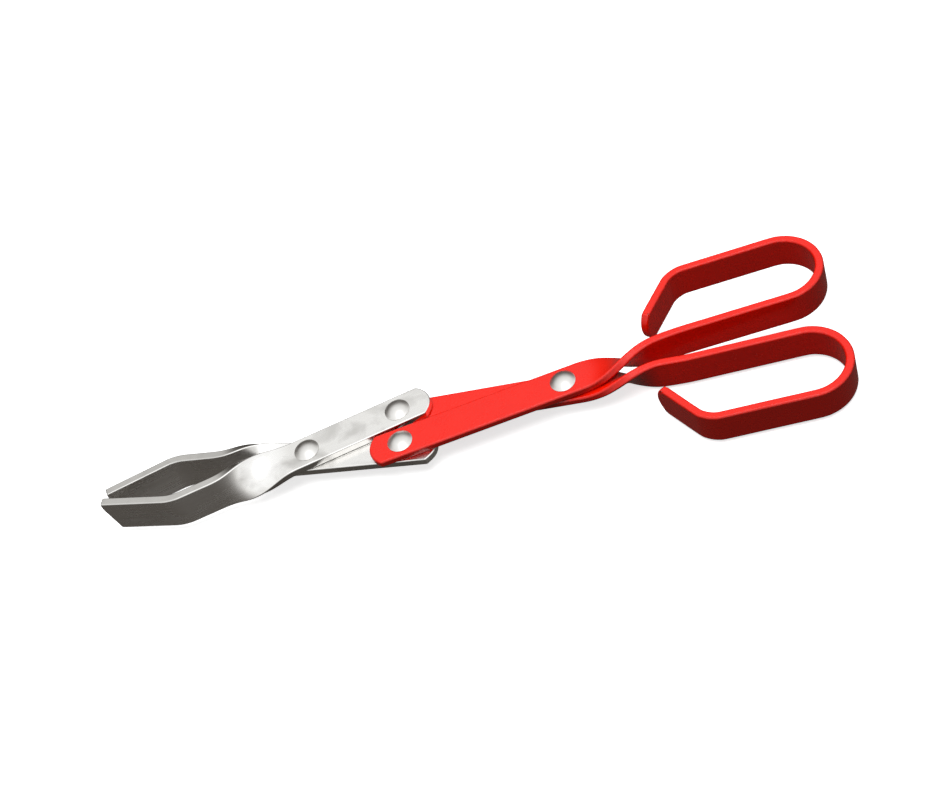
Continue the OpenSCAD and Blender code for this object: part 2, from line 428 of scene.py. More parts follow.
end_trim = arc_end(JAW_END_ROUND * JAW_SIZE[0])
tangent = JAW_BEND_RADIUS * math.tan(math.radians(JAW_BEND) / 2)
jaw_moves = [
    (JAW_REACH - TWIST_START - TWIST_LENGTH - tangent, 0, 3),
    (JAW_BEND_RADIUS * math.radians(JAW_BEND), -JAW_BEND, 4),
    (TIP_LENGTH - tangent - FRONT_FADE, 0, 3),
    (FRONT_FADE, 0, 4),
]
jaw_stations = walk(
    flat_places(jaw_link, JAW_END_REACH, end_trim(JAW_SIZE[0] / 2), 4), jaw_moves)
for name, turned_over, body in (("left_jaw_strip", False, "left_jaw"),
                                ("right_jaw_strip", True, "right_jaw")):
    jaw = strip_piece(
        name, jaw_stations, JAW_ROWS, (end_trim, tip_trim(1 if turned_over else -1)),
        JAW_SIZE, JAW_EDGE_WIDTH, (0, -jaw_link), JAW_HOLE,
        place_strip(jaw_pivot, math.pi + jaw_angle, JAW_SIZE[1], turned_over))
    thicken(jaw, JAW_SIZE[1])
    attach(jaw, body)
    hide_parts(body)
    print(name, len(jaw.data.polygons), "faces in the cage")

# %% [markdown]
# ## The coated handles
#
# A handle is the same kind of strip, 11.7 mm by 2.2 mm, with a skin of coating all over it.
# The skin was made by dipping, so it is made that way here: the stack first builds the steel
# strip with slightly rounded edges, and a second Solidify grows a skin outwards from it. The
# result is a closed shell with a true inner wall, and its edges are as soft as a dipped edge.
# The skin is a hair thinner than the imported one, so that it stays inside it.
#
# The finger loop is one long walk: a slight bend, the inner leg, a half circle, the outer
# leg, and a short free leg that turns away and ends in an arc.

# %% Handles
CORE_SIZE = (11.7 * MM, 2.2 * MM)
COAT = 0.4 * MM
COAT_ROOM = 0.03 * MM
COATED_THICKNESS = CORE_SIZE[1] + 2 * COAT
LEG_START = 41.9 * MM
LEG_ANGLE = 2.3
LEG_LENGTH = 38.7 * MM
LEG_BEND_RADIUS = 40 * MM
LOOP_RADIUS = 13.4 * MM
OUTER_LEG = 30.5 * MM
FREE_BEND_RADIUS = 10 * MM
FREE_BEND = 53
FREE_LEG = 18 * MM
FREE_END = 8 * MM
HANDLE_END_REACH = 11.4 * MM
HANDLE_END_ROUND = 0.65
COATED_HOLE = 2.85 * MM
CORE_ROWS = [row * MM for row in (-5.85, -4, -2, 0, 2, 4, 5.85)]

leg_bend = math.degrees(handle_angle) - LEG_ANGLE
leg_tangent = LEG_BEND_RADIUS * math.tan(math.radians(leg_bend) / 2)
handle_moves = [
    (LEG_START - TWIST_START - TWIST_LENGTH - leg_tangent, 0, 1),
    (LEG_BEND_RADIUS * math.radians(leg_bend), -leg_bend, 1),
    (LEG_LENGTH - leg_tangent, 0, 5),
    (LOOP_RADIUS * math.pi, 180, 14),
    (OUTER_LEG, 0, 4),
    (FREE_BEND_RADIUS * math.radians(FREE_BEND), FREE_BEND, 5),
    (FREE_LEG - COAT - FREE_END, 0, 1),
    (FREE_END, 0, 3),
]
core_end = arc_end(HANDLE_END_ROUND * CORE_SIZE[0])
core_reach = HANDLE_END_REACH - COAT
handle_stations = walk(
    flat_places(handle_link, core_reach, core_end(CORE_SIZE[0] / 2), 6), handle_moves)
for name, turned_over, body in (("right_handle_skin", False, "right_handle"),
                                ("left_handle_skin", True, "left_handle")):
    skin = strip_piece(
        name, handle_stations, CORE_ROWS, (core_end, core_end),
        CORE_SIZE, CORE_SIZE[0], (0, -handle_link), COATED_HOLE,
        place_strip(handle_pivot, handle_angle, COATED_THICKNESS, turned_over))
    thicken(skin, CORE_SIZE[1])
    dip = skin.modifiers.new("dipped skin", "SOLIDIFY")
    dip.thickness = COAT - COAT_ROOM
    dip.offset = 1
    dip.use_quality_normals = True
    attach(skin, body)
    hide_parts(body + "_coating")
    print(name, len(skin.data.polygons), "faces in the cage")

# %% [markdown]
# ## The rivets
#
# A rivet is a turned part: a domed head, a straight shank through both strips, and a tail
# that was hammered over underneath. Half of its outline is enough. The Screw modifier spins
# the outline round the Z axis, and Subdivision makes the dome smooth. Points close to the
# shank's two ends keep it straight. The outline runs from the top to the bottom at +X, or the
# rivet would be inside out.
#
# Screw works about the object's own origin, so the rivet is made there. Then its stack is
# applied and its mesh is moved to its place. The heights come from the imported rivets' boxes.

# %% Rivets
HEAD_RADIUS = 4.5 * MM
HEAD_HEIGHT = 2.1 * MM
TAIL_RADIUS = 3.8 * MM
TAIL_HEIGHT = 1.4 * MM
SHANK_RADIUS = 2.4 * MM
RIM = 0.16 * MM
SHANK_NEAR = 0.02 * MM
SHANK_FAR = 0.3 * MM
DOME_STEPS = 6
SPIN_STEPS = 24
MERGE_DISTANCE = 0.001 * MM


def dome(radius, height, base, up):
    """An arc from the crown down to the rim, and a small round at the rim."""
    sphere = (radius ** 2 + height ** 2) / (2 * height)
    spread = math.asin(radius / sphere)
    crown = []
    for step in range(DOME_STEPS):
        angle = spread * step / DOME_STEPS
        crown.append((sphere * math.sin(angle),
                      base + up * (height - sphere * (1 - math.cos(angle)))))
    rim = [(radius - RIM, base + up * RIM * 1.6), (radius + RIM * 0.3, base + up * RIM),
           (radius - RIM * 0.5, base)]
    return crown + rim


def turned(name, outline):
    """A closed mesh spun from an outline of (radius, height) pairs."""
    mesh = bpy.data.meshes.new(name)
    corners = [(ring_radius(radius, SPIN_STEPS), 0, height) for radius, height in outline]
    mesh.from_pydata(corners, [(i, i + 1) for i in range(len(outline) - 1)], [])
    piece = add_object(name, mesh)
    spin = piece.modifiers.new("spin", "SCREW")
    spin.steps = SPIN_STEPS
    spin.render_steps = SPIN_STEPS
    spin.use_merge_vertices = True
    spin.merge_threshold = MERGE_DISTANCE
    smooth = piece.modifiers.new("smooth", "SUBSURF")
    smooth.levels = SMOOTHING
    smooth.render_levels = SMOOTHING
    bpy.context.view_layer.update()
    finished = piece.evaluated_get(bpy.context.evaluated_depsgraph_get())
    piece.data = bpy.data.meshes.new_from_object(finished)
    piece.modifiers.clear()
    bpy.data.meshes.remove(mesh)
    piece.data.shade_smooth()
    return piece


RIVETS = {
    "jaw_pivot_rivet": "left_jaw",
    "handle_pivot_rivet": "right_handle",
    "left_link_rivet": "right_handle",
    "right_link_rivet": "left_jaw",
}
rivets = {}
for node, body in RIVETS.items():
    low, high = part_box(node)
    seat = high.z - HEAD_HEIGHT - handle_pivot.z
    foot = low.z + TAIL_HEIGHT - handle_pivot.z
    head = dome(HEAD_RADIUS, HEAD_HEIGHT, seat, 1)
    tail = dome(TAIL_RADIUS, TAIL_HEIGHT, foot, -1)
    shank = [(SHANK_RADIUS, seat - SHANK_NEAR), (SHANK_RADIUS, seat - SHANK_FAR),
             (SHANK_RADIUS, foot + SHANK_FAR), (SHANK_RADIUS, foot + SHANK_NEAR)]
    rivet = turned(node.replace("rivet", "round_rivet"), head + shank + tail[::-1])
    middle = Vector(((low.x + high.x) / 2, (low.y + high.y) / 2, handle_pivot.z))
    rivet.data.transform(Matrix.Translation(middle))
    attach(rivet, body)
    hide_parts(node)
    rivets[node] = (rivet, middle)
    print(rivet.name, len(rivet.data.polygons), "faces")

# %% [markdown]
# ## Polished strip steel
#
# The jaws were ground along their length and then polished, so they are almost mirrors with
# very fine marks along the strip. A plain metal with one roughness would look like chrome.
# Four effects make it steel, and each has its own frame in the node editor.
#
# - *Grinding marks*: noise that is stretched along the strip through the UV map, so the
#   marks turn with the twist. It changes the roughness a little and gives a very fine bump.
# - *Handling*: wide soft smudges, where fingers have dulled the polish.
# - *Sheared edges*: the UV map's second value is the distance from the strip's middle line,
#   so the two long edges, which were cut and not polished, can be made duller and darker.
# - *Pits*: tiny dents from use, the same in all directions.
#
# Both jaws get the same make-up from one function. Its last argument slides the grinding
# marks along, so that the two jaws aren't twins.

# %% Strip steel
def empty_material(name):
    """A new material, with its nodes and links still to be made."""
    material = bpy.data.materials.new(name)
    material.use_nodes = True
    material.node_tree.nodes.clear()
    return material, material.node_tree.nodes, material.node_tree.links


def strip_steel(name, bright, dull, sheared, polish, marks, slide):
    """Ground and polished steel. marks is the depth of the grinding marks."""
    material, nodes, links = empty_material(name)

    marks_frame = nodes.new("NodeFrame")
    marks_frame.label = "Grinding marks"
    strip_map = nodes.new("ShaderNodeUVMap")
    strip_map.label = "along and across the strip"
    strip_map.location = (-1500, 500)
    strip_map.uv_map = "strip"
    stretch = nodes.new("ShaderNodeMapping")
    stretch.label = "long thin marks"
    stretch.location = (-1300, 500)
    stretch.inputs["Location"].default_value = (slide, slide, 0)
    stretch.inputs["Scale"].default_value = (22, 2600, 1)
    grain = nodes.new("ShaderNodeTexNoise")
    grain.label = "marks of the grinding belt"
    grain.location = (-1100, 500)
    grain.inputs["Scale"].default_value = 1
    grain.inputs["Detail"].default_value = 4
    grain.inputs["Roughness"].default_value = 0.65
    grain_bump = nodes.new("ShaderNodeBump")
    grain_bump.label = "depth of the marks"
    grain_bump.location = (-100, 500)
    grain_bump.inputs["Strength"].default_value = marks
    grain_bump.inputs["Distance"].default_value = 0.02 * MM
    grain_polish = nodes.new("ShaderNodeMapRange")
    grain_polish.label = "marks scatter light"
    grain_polish.location = (-800, 500)
    grain_polish.inputs["From Min"].default_value = 0.3
    grain_polish.inputs["From Max"].default_value = 0.7
    grain_polish.inputs["To Min"].default_value = polish * 0.75
    grain_polish.inputs["To Max"].default_value = polish * 1.35
    for part in (strip_map, stretch, grain, grain_bump, grain_polish):
        part.parent = marks_frame

    handling_frame = nodes.new("NodeFrame")
    handling_frame.label = "Handling"
    place = nodes.new("ShaderNodeTexCoord")
    place.label = "place on the tongs"
    place.location = (-1500, 100)
    smudge = nodes.new("ShaderNodeTexNoise")
    smudge.label = "soft smudges"
    smudge.location = (-1100, 150)
    smudge.inputs["Scale"].default_value = 95
    smudge.inputs["Detail"].default_value = 3
    smudge.inputs["Distortion"].default_value = 0.6
    smudge_ramp = nodes.new("ShaderNodeMapRange")
    smudge_ramp.label = "only the strongest show"
    smudge_ramp.location = (-800, 150)
    smudge_ramp.inputs["From Min"].default_value = 0.45
    smudge_ramp.inputs["From Max"].default_value = 0.75
    tone = nodes.new("ShaderNodeMix")
    tone.data_type = "RGBA"
    tone.label = "dulled by handling"
    tone.location = (-500, 150)
    tone.inputs["A"].default_value = (*bright, 1)
    tone.inputs["B"].default_value = (*dull, 1)
    dulling = nodes.new("ShaderNodeMath")
    dulling.operation = "MULTIPLY_ADD"
    dulling.label = "smudges are rougher"
    dulling.location = (-500, 350)
    dulling.inputs[1].default_value = polish * 0.9
    for part in (place, smudge, smudge_ramp, tone, dulling):
        part.parent = handling_frame

    edge_frame = nodes.new("NodeFrame")
    edge_frame.label = "Sheared edges"
    split = nodes.new("ShaderNodeSeparateXYZ")
    split.label = "distance from the middle line"
    split.location = (-1300, -200)
    either_side = nodes.new("ShaderNodeMath")
    either_side.operation = "ABSOLUTE"
    either_side.label = "both edges alike"
    either_side.location = (-1100, -200)
    near_edge = nodes.new("ShaderNodeMapRange")
    near_edge.label = "outermost part"
    near_edge.location = (-800, -200)
    near_edge.inputs["From Min"].default_value = 6.05 * MM
    near_edge.inputs["From Max"].default_value = 6.3 * MM
    near_edge.inputs["To Max"].default_value = 0.9
    edge_tone = nodes.new("ShaderNodeMix")
    edge_tone.data_type = "RGBA"
    edge_tone.label = "darker where it was cut"
    edge_tone.location = (-250, -50)
    edge_tone.inputs["B"].default_value = (*sheared, 1)
    for part in (split, either_side, near_edge, edge_tone):
        part.parent = edge_frame

    pit_frame = nodes.new("NodeFrame")
    pit_frame.label = "Pits"
    pits = nodes.new("ShaderNodeTexNoise")
    pits.label = "tiny dents"
    pits.location = (-800, -500)
    pits.inputs["Scale"].default_value = 1400
    pits.inputs["Detail"].default_value = 2
    pits.parent = pit_frame
    pit_bump = nodes.new("ShaderNodeBump")
    pit_bump.label = "depth of the dents"
    pit_bump.location = (150, -300)
    pit_bump.inputs["Strength"].default_value = marks * 0.5
    pit_bump.inputs["Distance"].default_value = 0.02 * MM
    pit_bump.parent = pit_frame

    steel = nodes.new("ShaderNodeBsdfPrincipled")
    steel.label = "steel"
    steel.location = (400, 200)
    steel.inputs["Metallic"].default_value = 1
    output = nodes.new("ShaderNodeOutputMaterial")
    output.label = "surface"
    output.location = (700, 200)

    links.new(strip_map.outputs["UV"], stretch.inputs["Vector"])
    links.new(stretch.outputs["Vector"], grain.inputs["Vector"])
    links.new(grain.outputs["Fac"], grain_polish.inputs["Value"])
    links.new(grain.outputs["Fac"], grain_bump.inputs["Height"])
    links.new(place.outputs["Object"], smudge.inputs["Vector"])
    links.new(smudge.outputs["Fac"], smudge_ramp.inputs["Value"])
    links.new(smudge_ramp.outputs["Result"], tone.inputs["Factor"])
    links.new(smudge_ramp.outputs["Result"], dulling.inputs[0])
    links.new(grain_polish.outputs["Result"], dulling.inputs[2])
    links.new(strip_map.outputs["UV"], split.inputs["Vector"])
    links.new(split.outputs["Y"], either_side.inputs[0])
    links.new(either_side.outputs["Value"], near_edge.inputs["Value"])
    links.new(near_edge.outputs["Result"], edge_tone.inputs["Factor"])
    links.new(tone.outputs["Result"], edge_tone.inputs["A"])
    links.new(place.outputs["Object"], pits.inputs["Vector"])
    links.new(pits.outputs["Fac"], pit_bump.inputs["Height"])
    links.new(grain_bump.outputs["Normal"], pit_bump.inputs["Normal"])
    links.new(edge_tone.outputs["Result"], steel.inputs["Base Color"])
    links.new(dulling.outputs["Value"], steel.inputs["Roughness"])
    links.new(pit_bump.outputs["Normal"], steel.inputs["Normal"])
    links.new(steel.outputs["BSDF"], output.inputs["Surface"])
    return material


for name, slide in (("left_jaw_strip", 0.0), ("right_jaw_strip", 0.37)):
    steel = strip_steel(
        name.replace("strip", "steel"), bright=(0.97, 0.965, 0.95), dull=(0.74, 0.73, 0.71),
        sheared=(0.62, 0.61, 0.59), polish=0.2, marks=0.1, slide=slide)
    bpy.data.objects[name].data.materials.append(steel)
print("jaw steel on both jaws")

# %% [markdown]
# ## Dipped red coating
#
# The handles were dipped in soft plastic, which dries to a thick gloss. It isn't quite flat:
# it has a faint orange peel, long slow waves where it ran before it set, and a slightly
# deeper red where it is thicker. Use leaves a few dull scuffs. All of this reads the place on
# the tongs, because the coating has no direction.

# %% Red coating
def dipped_coating(name, red, deep_red, slide):
    """Glossy dipped plastic. slide moves its pattern, so that the handles differ."""
    material, nodes, links = empty_material(name)

    place = nodes.new("ShaderNodeTexCoord")
    place.label = "place on the tongs"
    place.location = (-1500, 100)
    shifted = nodes.new("ShaderNodeMapping")
    shifted.label = "each handle differs"
    shifted.location = (-1300, 100)
    shifted.inputs["Location"].default_value = (slide, 0, 0)

    colour_frame = nodes.new("NodeFrame")
    colour_frame.label = "Thickness of the dip"
    thickness = nodes.new("ShaderNodeTexNoise")
    thickness.label = "where it ran thick"
    thickness.location = (-1000, 400)
    thickness.inputs["Scale"].default_value = 55
    thickness.inputs["Detail"].default_value = 2
    thickness.parent = colour_frame
    colour = nodes.new("ShaderNodeMix")
    colour.data_type = "RGBA"
    colour.label = "deeper red where thick"
    colour.location = (-500, 400)
    colour.inputs["A"].default_value = (*red, 1)
    colour.inputs["B"].default_value = (*deep_red, 1)
    colour.parent = colour_frame

    scuff_frame = nodes.new("NodeFrame")
    scuff_frame.label = "Scuffs"
    scuffs = nodes.new("ShaderNodeTexNoise")
    scuffs.label = "rubbed places"
    scuffs.location = (-1000, 100)
    scuffs.inputs["Scale"].default_value = 240
    scuffs.inputs["Detail"].default_value = 5
    scuffs.inputs["Roughness"].default_value = 0.7
    scuffs.parent = scuff_frame
    dullness = nodes.new("ShaderNodeMapRange")
    dullness.label = "gloss and dull"
    dullness.location = (-500, 100)
    dullness.inputs["From Min"].default_value = 0.5
    dullness.inputs["From Max"].default_value = 0.75
    dullness.inputs["To Min"].default_value = 0.25
    dullness.inputs["To Max"].default_value = 0.36
    dullness.parent = scuff_frame

    skin_frame = nodes.new("NodeFrame")
    skin_frame.label = "Skin of the dip"
    peel = nodes.new("ShaderNodeTexNoise")
    peel.label = "orange peel"
    peel.location = (-1000, -200)
    peel.inputs["Scale"].default_value = 520
    peel.inputs["Detail"].default_value = 1
    peel_bump = nodes.new("ShaderNodeBump")
    peel_bump.label = "depth of the peel"
    peel_bump.location = (-300, -200)
    peel_bump.inputs["Strength"].default_value = 0.08
    peel_bump.inputs["Distance"].default_value = 0.03 * MM
    waves = nodes.new("ShaderNodeTexNoise")
    waves.label = "slow waves"
    waves.location = (-1000, -450)
    waves.inputs["Scale"].default_value = 85
    waves.inputs["Detail"].default_value = 1
    wave_bump = nodes.new("ShaderNodeBump")
    wave_bump.label = "depth of the waves"
    wave_bump.location = (-50, -350)
    wave_bump.inputs["Strength"].default_value = 0.2
    wave_bump.inputs["Distance"].default_value = 0.12 * MM
    for part in (peel, peel_bump, waves, wave_bump):
        part.parent = skin_frame

    coating = nodes.new("ShaderNodeBsdfPrincipled")
    coating.label = "coating"
    coating.location = (300, 200)
    coating.inputs["IOR"].default_value = 1.42
    coating.inputs["Coat Weight"].default_value = 0.3
    coating.inputs["Coat Roughness"].default_value = 0.08
    output = nodes.new("ShaderNodeOutputMaterial")
    output.label = "surface"
    output.location = (600, 200)

    links.new(place.outputs["Object"], shifted.inputs["Vector"])
    links.new(shifted.outputs["Vector"], thickness.inputs["Vector"])
    links.new(shifted.outputs["Vector"], scuffs.inputs["Vector"])
    links.new(shifted.outputs["Vector"], peel.inputs["Vector"])
    links.new(shifted.outputs["Vector"], waves.inputs["Vector"])
    links.new(thickness.outputs["Fac"], colour.inputs["Factor"])
    links.new(scuffs.outputs["Fac"], dullness.inputs["Value"])
    links.new(peel.outputs["Fac"], peel_bump.inputs["Height"])
    links.new(waves.outputs["Fac"], wave_bump.inputs["Height"])
    links.new(peel_bump.outputs["Normal"], wave_bump.inputs["Normal"])
    links.new(colour.outputs["Result"], coating.inputs["Base Color"])
    links.new(dullness.outputs["Result"], coating.inputs["Roughness"])
    links.new(wave_bump.outputs["Normal"], coating.inputs["Normal"])
    links.new(coating.outputs["BSDF"], output.inputs["Surface"])
    return material


for name, slide in (("right_handle_skin", 0.0), ("left_handle_skin", 0.53)):
    coating = dipped_coating(
        name.replace("skin", "red"), red=(0.92, 0.012, 0.001), deep_red=(0.82, 0.008, 0.001),
        slide=slide)
    bpy.data.objects[name].data.materials.append(coating)
print("red coating on both handles")

# %% [markdown]
# ## Satin rivet steel
#
# The rivets were tumbled, so they are duller than the jaws. The tool that formed each head
# left faint rings round its crown. A Mapping node moves the pattern's centre to the rivet's
# own middle, so the material is made by one function with that middle as its argument.

# %% Rivet steel
def satin_steel(name, middle, tone, worn_tone):
    """Tumbled steel with faint rings round the rivet's middle."""
    material, nodes, links = empty_material(name)

    place = nodes.new("ShaderNodeTexCoord")
    place.label = "place on the tongs"
    place.location = (-1300, 100)

    ring_frame = nodes.new("NodeFrame")
    ring_frame.label = "Rings of the forming tool"
    centred = nodes.new("ShaderNodeMapping")
    centred.label = "centred on the rivet"
    centred.location = (-1100, 400)
    centred.inputs["Location"].default_value = -middle
    rings = nodes.new("ShaderNodeTexWave")
    rings.wave_type = "RINGS"
    rings.rings_direction = "Z"
    rings.label = "faint rings"
    rings.location = (-850, 400)
    rings.inputs["Scale"].default_value = 900
    rings.inputs["Distortion"].default_value = 1.5
    rings.inputs["Detail"].default_value = 2
    ring_bump = nodes.new("ShaderNodeBump")
    ring_bump.label = "depth of the rings"
    ring_bump.location = (-350, 400)
    ring_bump.inputs["Strength"].default_value = 0.06
    ring_bump.inputs["Distance"].default_value = 0.02 * MM
    for part in (centred, rings, ring_bump):
        part.parent = ring_frame

    satin_frame = nodes.new("NodeFrame")
    satin_frame.label = "Tumbled finish"
    tumble = nodes.new("ShaderNodeTexNoise")
    tumble.label = "tiny dents of tumbling"
    tumble.location = (-850, 0)
    tumble.inputs["Scale"].default_value = 1900
    tumble.inputs["Detail"].default_value = 3
    tumble_bump = nodes.new("ShaderNodeBump")
    tumble_bump.label = "depth of the dents"
    tumble_bump.location = (-100, 200)
    tumble_bump.inputs["Strength"].default_value = 0.12
    tumble_bump.inputs["Distance"].default_value = 0.03 * MM
    patches = nodes.new("ShaderNodeTexNoise")
    patches.label = "brighter patches"
    patches.location = (-850, -300)
    patches.inputs["Scale"].default_value = 380
    patches.inputs["Detail"].default_value = 3
    tone_mix = nodes.new("ShaderNodeMix")
    tone_mix.data_type = "RGBA"
    tone_mix.label = "satin and rubbed"
    tone_mix.location = (-350, -100)
    tone_mix.inputs["A"].default_value = (*tone, 1)
    tone_mix.inputs["B"].default_value = (*worn_tone, 1)
    sheen = nodes.new("ShaderNodeMapRange")
    sheen.label = "rubbed places are smoother"
    sheen.location = (-350, -300)
    sheen.inputs["From Min"].default_value = 0.3
    sheen.inputs["From Max"].default_value = 0.7
    sheen.inputs["To Min"].default_value = 0.42
    sheen.inputs["To Max"].default_value = 0.3
    for part in (tumble, tumble_bump, patches, tone_mix, sheen):
        part.parent = satin_frame

    steel = nodes.new("ShaderNodeBsdfPrincipled")
    steel.label = "rivet steel"
    steel.location = (200, 200)
    steel.inputs["Metallic"].default_value = 1
    output = nodes.new("ShaderNodeOutputMaterial")
    output.label = "surface"
    output.location = (500, 200)

    links.new(place.outputs["Object"], centred.inputs["Vector"])
    links.new(centred.outputs["Vector"], rings.inputs["Vector"])
    links.new(rings.outputs["Fac"], ring_bump.inputs["Height"])
    links.new(place.outputs["Object"], tumble.inputs["Vector"])
    links.new(tumble.outputs["Fac"], tumble_bump.inputs["Height"])
    links.new(ring_bump.outputs["Normal"], tumble_bump.inputs["Normal"])
    links.new(place.outputs["Object"], patches.inputs["Vector"])
    links.new(patches.outputs["Fac"], tone_mix.inputs["Factor"])
    links.new(patches.outputs["Fac"], sheen.inputs["Value"])
    links.new(tone_mix.outputs["Result"], steel.inputs["Base Color"])
    links.new(sheen.outputs["Result"], steel.inputs["Roughness"])
    links.new(tumble_bump.outputs["Normal"], steel.inputs["Normal"])
    links.new(steel.outputs["BSDF"], output.inputs["Surface"])
    return material


for node, (rivet, middle) in rivets.items():
    steel = satin_steel(
        node + "_steel", middle, tone=(0.80, 0.79, 0.77), worn_tone=(0.90, 0.89, 0.87))
    rivet.data.materials.append(steel)
print("satin steel on", len(rivets), "rivets")

# %% [markdown]
# ## The steel inside the handles
#
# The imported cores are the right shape, so they stay as they are. They only need a finish,
# which goes into their material slots. They have no UV map, so their steel reads the place
# on the tongs for everything.

# %% Core steel
def rolled_steel(name, tone, scale_tone):
    """Plain rolled steel with thin mill scale."""
    material, nodes, links = empty_material(name)
    place = nodes.new("ShaderNodeTexCoord")
    place.label = "place on the tongs"
    place.location = (-900, 100)
    roll_frame = nodes.new("NodeFrame")
    roll_frame.label = "Rolled finish"
    cloud = nodes.new("ShaderNodeTexNoise")
    cloud.label = "mill scale"
    cloud.location = (-650, 250)
    cloud.inputs["Scale"].default_value = 260
    cloud.inputs["Detail"].default_value = 5
    tone_mix = nodes.new("ShaderNodeMix")
    tone_mix.data_type = "RGBA"
    tone_mix.label = "steel and scale"
    tone_mix.location = (-350, 250)
    tone_mix.inputs["A"].default_value = (*tone, 1)
    tone_mix.inputs["B"].default_value = (*scale_tone, 1)
    dullness = nodes.new("ShaderNodeMapRange")
    dullness.label = "scale is duller"
    dullness.location = (-350, 50)
    dullness.inputs["To Min"].default_value = 0.3
    dullness.inputs["To Max"].default_value = 0.6
    roll_bump = nodes.new("ShaderNodeBump")
    roll_bump.label = "rolled grain"
    roll_bump.location = (-350, -200)
    roll_bump.inputs["Strength"].default_value = 0.2
    roll_bump.inputs["Distance"].default_value = 0.03 * MM
    for part in (cloud, tone_mix, dullness, roll_bump):
        part.parent = roll_frame
    steel = nodes.new("ShaderNodeBsdfPrincipled")
    steel.label = "rolled steel"
    steel.location = (0, 200)
    steel.inputs["Metallic"].default_value = 1
    output = nodes.new("ShaderNodeOutputMaterial")
    output.label = "surface"
    output.location = (300, 200)
    links.new(place.outputs["Object"], cloud.inputs["Vector"])
    links.new(cloud.outputs["Fac"], tone_mix.inputs["Factor"])
    links.new(cloud.outputs["Fac"], dullness.inputs["Value"])
    links.new(cloud.outputs["Fac"], roll_bump.inputs["Height"])
    links.new(tone_mix.outputs["Result"], steel.inputs["Base Color"])
    links.new(dullness.outputs["Result"], steel.inputs["Roughness"])
    links.new(roll_bump.outputs["Normal"], steel.inputs["Normal"])
    links.new(steel.outputs["BSDF"], output.inputs["Surface"])
    return material


core_steel = rolled_steel(
    "handle_core_steel", tone=(0.55, 0.54, 0.53), scale_tone=(0.33, 0.32, 0.31))
for node in ("left_handle_core", "right_handle_core"):
    core = frame["nodes"][node]
    core.data.materials.clear()
    core.data.materials.append(core_steel)
print("rolled steel on both cores")

# %% [markdown]
# ## The floor
#
# The tongs lie on a plain pale floor. Polished steel shows everything around it, and a pale
# floor would wash out its upright faces, so the floor is left out of mirror reflections. It
# doesn't light the tongs either, and it glows a little, which keeps their shadow faint.

# %% Floor
FLOOR_SIZE = 12
FLOOR_DROP = 0.02 * MM


def pale_floor(name, tone, other_tone, glow):
    """Matt paper in two tones that are almost the same."""
    material, nodes, links = empty_material(name)
    place = nodes.new("ShaderNodeTexCoord")
    place.label = "place on the floor"
    place.location = (-700, 100)
    paper = nodes.new("ShaderNodeTexNoise")
    paper.label = "paper"
    paper.location = (-500, 100)
    paper.inputs["Scale"].default_value = 6
    paper.inputs["Detail"].default_value = 2
    tone_mix = nodes.new("ShaderNodeMix")
    tone_mix.data_type = "RGBA"
    tone_mix.label = "very slightly uneven"
    tone_mix.location = (-250, 100)
    tone_mix.inputs["A"].default_value = (*tone, 1)
    tone_mix.inputs["B"].default_value = (*other_tone, 1)
    surface = nodes.new("ShaderNodeBsdfPrincipled")
    surface.label = "matt paper"
    surface.location = (0, 100)
    surface.inputs["Roughness"].default_value = 1
    surface.inputs["Specular IOR Level"].default_value = 0
    surface.inputs["Emission Color"].default_value = (*tone, 1)
    surface.inputs["Emission Strength"].default_value = glow
    output = nodes.new("ShaderNodeOutputMaterial")
    output.label = "surface"
    output.location = (300, 100)
    links.new(place.outputs["Object"], paper.inputs["Vector"])
    links.new(paper.outputs["Fac"], tone_mix.inputs["Factor"])
    links.new(tone_mix.outputs["Result"], surface.inputs["Base Color"])
    links.new(surface.outputs["BSDF"], output.inputs["Surface"])
    return material


floor_mesh = bpy.data.meshes.new("floor")
half = FLOOR_SIZE / 2
level = cad_low.z - FLOOR_DROP
floor_mesh.from_pydata(
    [(-half, -half, level), (half, -half, level), (half, half, level), (-half, half, level)],
    [], [(0, 1, 2, 3)])
floor_mesh.materials.append(pale_floor(
    "pale_paper", tone=(0.94, 0.94, 0.94), other_tone=(0.92, 0.92, 0.925), glow=0.75))
floor = add_object("floor", floor_mesh)
floor.visible_glossy = False
floor.visible_diffuse = False
floor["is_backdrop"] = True
print("floor", FLOOR_SIZE, "m square")

# %% [markdown]
# ## The light
#
# A large soft box overhead lights the tongs, as on a studio table. Polished steel doesn't show
# its own colour but its surroundings, so the sky is made twice. What mirrors see is a soft box
# that leans forwards from overhead, white in its middle, with grey round it and a warm dark
# behind and below, so that the twists fade from white to dark, the upright faces are dark and
# the rivets are bright in front and dark behind. What lights the colours comes mostly from
# high up, together with a lamp that mirrors don't see, so that the coating is bright on top
# and deep red on its sides. The camera itself sees a plain pale backdrop.

# %% Sky and lamp
MIRROR_STRENGTH = 2
MIRROR_TOWARDS = (0.15, -0.40, 0.90)
MIRROR_SKY = [
    (0.00, (0.036, 0.032, 0.028)),
    (0.30, (0.041, 0.037, 0.033)),
    (0.45, (0.080, 0.075, 0.070)),
    (0.56, (0.200, 0.195, 0.190)),
    (0.64, (0.380, 0.375, 0.365)),
    (0.72, (0.480, 0.480, 0.475)),
    (0.94, (0.540, 0.540, 0.540)),
    (0.98, (1.000, 1.000, 1.000)),
]
LIGHT_STRENGTH = 0.5
LIGHT_SKY = [
    (0.50, (0.030, 0.028, 0.025)),
    (0.66, (0.060, 0.055, 0.050)),
    (0.84, (0.600, 0.600, 0.600)),
    (1.00, (1.000, 1.000, 1.000)),
]
LAMP_TOWARDS = (0.05, 0.02, 1)
LAMP_DISTANCE = 1.05
LAMP_SIZE = 1.1
LAMP_POWER = 11.5


